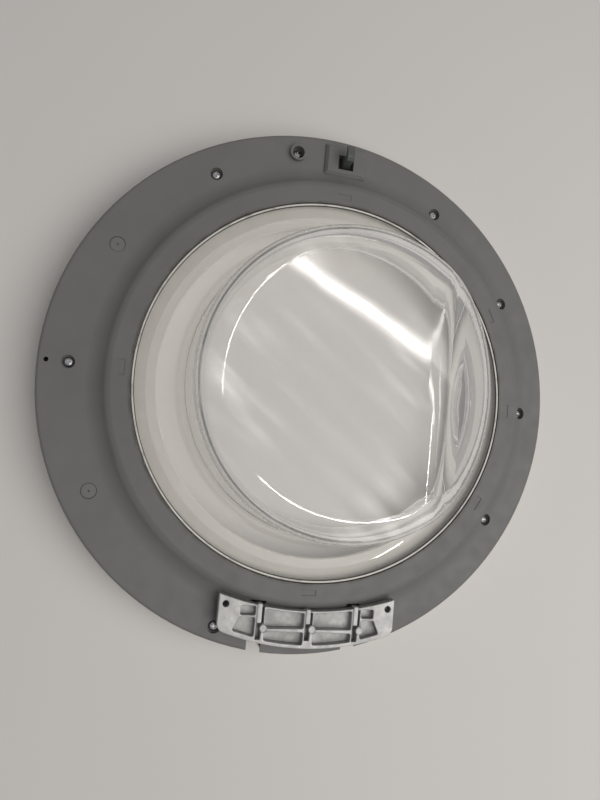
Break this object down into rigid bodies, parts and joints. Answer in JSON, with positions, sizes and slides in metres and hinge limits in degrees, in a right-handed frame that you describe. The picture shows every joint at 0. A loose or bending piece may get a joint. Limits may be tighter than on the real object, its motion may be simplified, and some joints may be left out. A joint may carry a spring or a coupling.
{
  "type": "washing machine door",
  "caption": "Round front-loader door with a faceted glass bowl, grey rear ring, white front ring, sprung latch hook and a die-cast hinge leaf on gooseneck arms.",
  "frame": {"origin": "centre of the outer rim, on the plane of the front face that the door lies on", "axes": "+Z out of the bowl's top (towards the drum), +X to the door's upper side when hung, +Y to the latch side, -Y to the hinge side"},
  "size_m": [0.47, 0.47, 0.15],
  "materials": {
    "grey_moulding": "fine matt moulded grey plastic",
    "white_moulding": "smooth off-white moulded plastic",
    "clear_glass": "thick clear pressed glass",
    "pale_rubber": "pale seat strip",
    "screw_steel": "dark plated screw steel",
    "plug_plastic": "grey plastic",
    "die_cast": "raw die-cast, slightly rough",
    "bush_plastic": "natural low-friction plastic",
    "pin_steel": "bright drawn steel",
    "plated_sheet": "zinc-plated pressed sheet",
    "dark_plastic": "dark moulded plastic",
    "hook_black": "dark coated metal"
  },
  "bodies": {
    "door": {"rear_ring": "grey_moulding", "front_ring": "white_moulding", "door_glass": "clear_glass", "glass_seat_strip": "pale_rubber", "ring_screws": "screw_steel", "hinge_side_screws": "screw_steel", "latch_screw": "screw_steel", "upper_plug": "plug_plastic", "lower_plug": "plug_plastic", "hinge_pin": "pin_steel", "pin_clips": "pin_steel", "hinge_carrier": "plated_sheet", "carrier_screws": "screw_steel", "hook_housing": "dark_plastic", "hook_pin": "pin_steel", "hook_spring": "pin_steel"},
    "leaf": {"hinge_leaf": "die_cast", "hinge_bushes": "bush_plastic"},
    "hook": {"latch_hook": "hook_black"}
  },
  "joints": [
    {"name": "hinge_swing", "type": "hinge", "parent": "door", "child": "leaf", "pos_m": [0.012, -0.2165, 0.014], "axis": [1, 0, 0], "range_deg": [0, 140]},
    {"name": "hook_tilt", "type": "hinge", "parent": "door", "child": "hook", "pos_m": [0.012, 0.213, 0.03], "axis": [1, 0, 0], "range_deg": [0, 8], "stiffness_Nm_per_rad": 0.4, "springref_deg": -8.59, "deforming": ["hook_spring"]}
  ]
}
